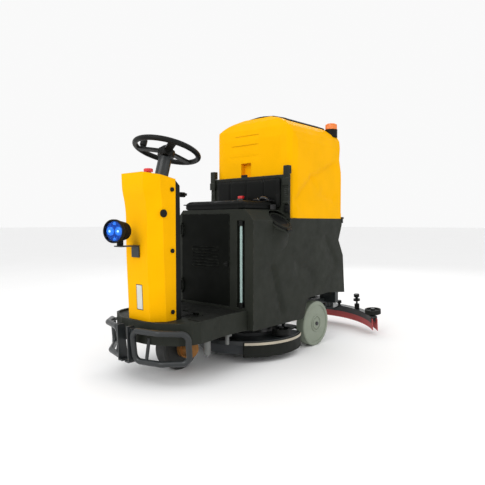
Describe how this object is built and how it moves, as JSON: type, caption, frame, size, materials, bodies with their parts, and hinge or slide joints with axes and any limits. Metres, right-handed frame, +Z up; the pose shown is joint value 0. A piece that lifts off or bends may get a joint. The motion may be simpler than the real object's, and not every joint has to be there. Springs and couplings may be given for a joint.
{
  "type": "ride-on floor scrubber",
  "caption": "Compact ride-on scrubber-drier with a tilting recovery tank, seat, steering column with lamp, disc brush deck and curved rear squeegee.",
  "frame": {"origin": "on the floor under the middle of the overall length and width", "axes": "+Z up, front of the machine towards -Y, its left-hand side towards +X"},
  "size_m": [0.7782, 1.7195, 1.212],
  "materials": {
    "yellow_shell": "satin rotomoulded polyethylene",
    "dark_shell": "fine-grained rotomoulded polyethylene",
    "black_plastic": "moulded black plastic",
    "black_metal": "black powder coat",
    "steel": "bare steel",
    "rubber": "black rubber",
    "vinyl": "black vinyl",
    "wheel_poly": "non-marking grey-green polyurethane",
    "tyre": "black rubber tyre",
    "squeegee_red": "red polyurethane blade",
    "sight": "milky tube",
    "amber": "amber lens",
    "blue_lens": "blue lamp lens",
    "red_button": "red moulded button",
    "brass": "copper and brass motor casing",
    "aluminium": "cast aluminium",
    "band": "bright clamp band",
    "bristle": "nylon bristle"
  },
  "bodies": {
    "chassis": {"chassis_frame": "black_metal", "body_shell": "dark_shell", "fill_neck": "dark_shell", "sight_tube": "sight", "sight_tube_elbows": "black_plastic", "seat_cushion": "vinyl", "backrest": "vinyl", "seat_belt": "black_plastic", "batteries": "black_plastic", "vacuum_motor": "aluminium", "foot_platform": "dark_shell", "tread_mat": "rubber", "column_front_cover": "yellow_shell", "column_rear_cover": "black_plastic", "column_screws": "black_plastic", "column_post": "black_metal", "steering_chain": "steel", "lamp_bracket": "black_metal", "bumper_left": "black_metal", "bumper_right": "black_metal", "deck_actuator": "aluminium", "solution_filter": "aluminium", "tank_hinges": "black_metal"},
    "fork": {"steering_fork": "black_metal", "drive_motor": "brass"},
    "drive": {"drive_wheel": "tyre"},
    "steering": {"steering_wheel": "black_plastic"},
    "lower_shaft": {"steering_shaft": "steel"},
    "spinner": {"spinner_knob": "black_plastic"},
    "wheel_left": {"rear_wheel_left": "wheel_poly"},
    "wheel_right": {"rear_wheel_right": "wheel_poly"},
    "deck": {"deck_housing": "black_metal", "deck_skirt": "rubber", "skirt_band": "band", "brush_motor": "aluminium"},
    "brush": {"disc_brush": "bristle"},
    "deck_roller_l": {"deck_roller_left": "black_plastic"},
    "deck_roller_r": {"deck_roller_right": "black_plastic"},
    "squeegee_lift": {"squeegee_arm": "black_metal"},
    "squeegee": {"squeegee_body": "black_metal", "squeegee_blades": "squeegee_red", "squeegee_knobs": "black_plastic"},
    "squeegee_roller_l": {"squeegee_roller_left": "rubber"},
    "squeegee_roller_r": {"squeegee_roller_right": "rubber"},
    "tank": {"recovery_tank": "yellow_shell", "float_shutoff": "black_plastic", "beacon_base": "black_plastic", "beacon_lens": "amber"},
    "lid": {"tank_lid": "black_plastic"},
    "latch_left": {"tank_latch_left": "rubber"},
    "latch_right": {"tank_latch_right": "rubber"},
    "panel": {"service_panel": "dark_shell"},
    "panel_lock": {"panel_latch": "black_plastic"},
    "cap": {"fill_cap": "black_plastic"},
    "pedal": {"accelerator_pedal": "rubber"},
    "estop": {"estop_button": "red_button"},
    "lever": {"direction_lever": "black_plastic"},
    "lamp": {"lamp_housing": "black_metal", "lamp_lens": "blue_lens"},
    "button": {"buckle_button": "red_button"}
  },
  "joints": [
    {"name": "fork_steer", "type": "hinge", "parent": "chassis", "child": "fork", "pos_m": [0, -0.51, 0.21], "axis": [0, 0, 1], "range_deg": [-80, 80]},
    {"name": "drive_wheel_spin", "type": "hinge", "parent": "fork", "child": "drive", "pos_m": [0, -0.51, 0.1], "axis": [1, 0, 0], "continuous": true},
    {"name": "steering_turn", "type": "hinge", "parent": "chassis", "child": "steering", "pos_m": [0, -0.563, 0.962], "axis": [0, 0.2756, 0.9613], "range_deg": [-240, 240]},
    {"name": "lower_shaft_turn", "type": "hinge", "parent": "chassis", "child": "lower_shaft", "pos_m": [0, -0.656, 0.4], "axis": [0, 0, 1], "range_deg": [-240, 240]},
    {"name": "spinner_turn", "type": "hinge", "parent": "steering", "child": "spinner", "pos_m": [-0.09873, -0.61779, 0.97771], "axis": [0, 0.2756, 0.9613], "continuous": true},
    {"name": "wheel_left_spin", "type": "hinge", "parent": "chassis", "child": "wheel_left", "pos_m": [0.224, 0.242, 0.117], "axis": [1, 0, 0], "continuous": true},
    {"name": "wheel_right_spin", "type": "hinge", "parent": "chassis", "child": "wheel_right", "pos_m": [-0.224, 0.242, 0.117], "axis": [1, 0, 0], "continuous": true},
    {"name": "deck_drop", "type": "slide", "parent": "chassis", "child": "deck", "axis": [0, 0, 1], "range_m": [-0.028, 0]},
    {"name": "brush_spin", "type": "hinge", "parent": "deck", "child": "brush", "pos_m": [0, -0.05, 0.09], "axis": [0, 0, 1], "continuous": true},
    {"name": "deck_roller_left_spin", "type": "hinge", "parent": "deck", "child": "deck_roller_l", "pos_m": [0.236, -0.05, 0.124], "axis": [0, 0, 1], "continuous": true},
    {"name": "deck_roller_right_spin", "type": "hinge", "parent": "deck", "child": "deck_roller_r", "pos_m": [-0.236, -0.05, 0.124], "axis": [0, 0, 1], "continuous": true},
    {"name": "squeegee_drop", "type": "hinge", "parent": "chassis", "child": "squeegee_lift", "pos_m": [0, 0.42, 0.17], "axis": [1, 0, 0], "range_deg": [-5.6, 0]},
    {"name": "squeegee_swivel", "type": "hinge", "parent": "squeegee_lift", "child": "squeegee", "pos_m": [0, 0.7762, 0.1748], "axis": [0, -0.0976, 0.9952], "range_deg": [-12, 12]},
    {"name": "squeegee_roller_left_spin", "type": "hinge", "parent": "squeegee", "child": "squeegee_roller_l", "pos_m": [0.335, 0.7197, 0.126], "axis": [0, -0.0976, 0.9952], "continuous": true},
    {"name": "squeegee_roller_right_spin", "type": "hinge", "parent": "squeegee", "child": "squeegee_roller_r", "pos_m": [-0.335, 0.7197, 0.126], "axis": [0, -0.0976, 0.9952], "continuous": true},
    {"name": "tank_tilt", "type": "hinge", "parent": "chassis", "child": "tank", "pos_m": [0, 0.492, 0.676], "axis": [-1, 0, 0], "range_deg": [0, 60]},
    {"name": "lid_open", "type": "hinge", "parent": "tank", "child": "lid", "pos_m": [0, 0.436, 1.172], "axis": [-1, 0, 0], "range_deg": [0, 75]},
    {"name": "latch_left_open", "type": "hinge", "parent": "chassis", "child": "latch_left", "pos_m": [0.248, -0.0315, 0.748], "axis": [1, 0, 0], "range_deg": [0, 85]},
    {"name": "latch_right_open", "type": "hinge", "parent": "chassis", "child": "latch_right", "pos_m": [-0.248, -0.0315, 0.748], "axis": [1, 0, 0], "range_deg": [0, 85]},
    {"name": "panel_open", "type": "hinge", "parent": "chassis", "child": "panel", "pos_m": [-0.212, -0.294, 0.476], "axis": [0, 0, -1], "range_deg": [0, 60]},
    {"name": "panel_lock_turn", "type": "hinge", "parent": "panel", "child": "panel_lock", "pos_m": [0.098, -0.294, 0.459], "axis": [0, 1, 0], "range_deg": [0, 90]},
    {"name": "cap_open", "type": "hinge", "parent": "chassis", "child": "cap", "pos_m": [0.3044, -0.08, 0.6141], "axis": [0, 1, 0], "range_deg": [0, 110]},
    {"name": "pedal_press", "type": "hinge", "parent": "chassis", "child": "pedal", "pos_m": [0.109, -0.49, 0.256], "axis": [1, 0, 0], "range_deg": [0, 12], "stiffness_Nm_per_rad": 1.5, "springref_deg": -8.59},
    {"name": "estop_press", "type": "slide", "parent": "chassis", "child": "estop", "axis": [0, 0, -1], "range_m": [0, 0.0035], "stiffness_N_per_m": 900, "springref_m": -0.003},
    {"name": "lever_turn", "type": "hinge", "parent": "chassis", "child": "lever", "pos_m": [0.074, -0.58, 0.77], "axis": [0, 1, 0], "range_deg": [-30, 30]},
    {"name": "lamp_swivel", "type": "hinge", "parent": "chassis", "child": "lamp", "pos_m": [-0.00773, -0.80047, 0.57], "axis": [0, 0, 1], "range_deg": [-45, 45]},
    {"name": "button_press", "type": "slide", "parent": "chassis", "child": "button", "axis": [0, 0, -1], "range_m": [0, 0.005], "stiffness_N_per_m": 200, "springref_m": -0.003}
  ],
  "couplings": [
    {"joint": "steering_turn", "follows": "fork_steer", "ratio": 3},
    {"joint": "lower_shaft_turn", "follows": "fork_steer", "ratio": 3}
  ]
}
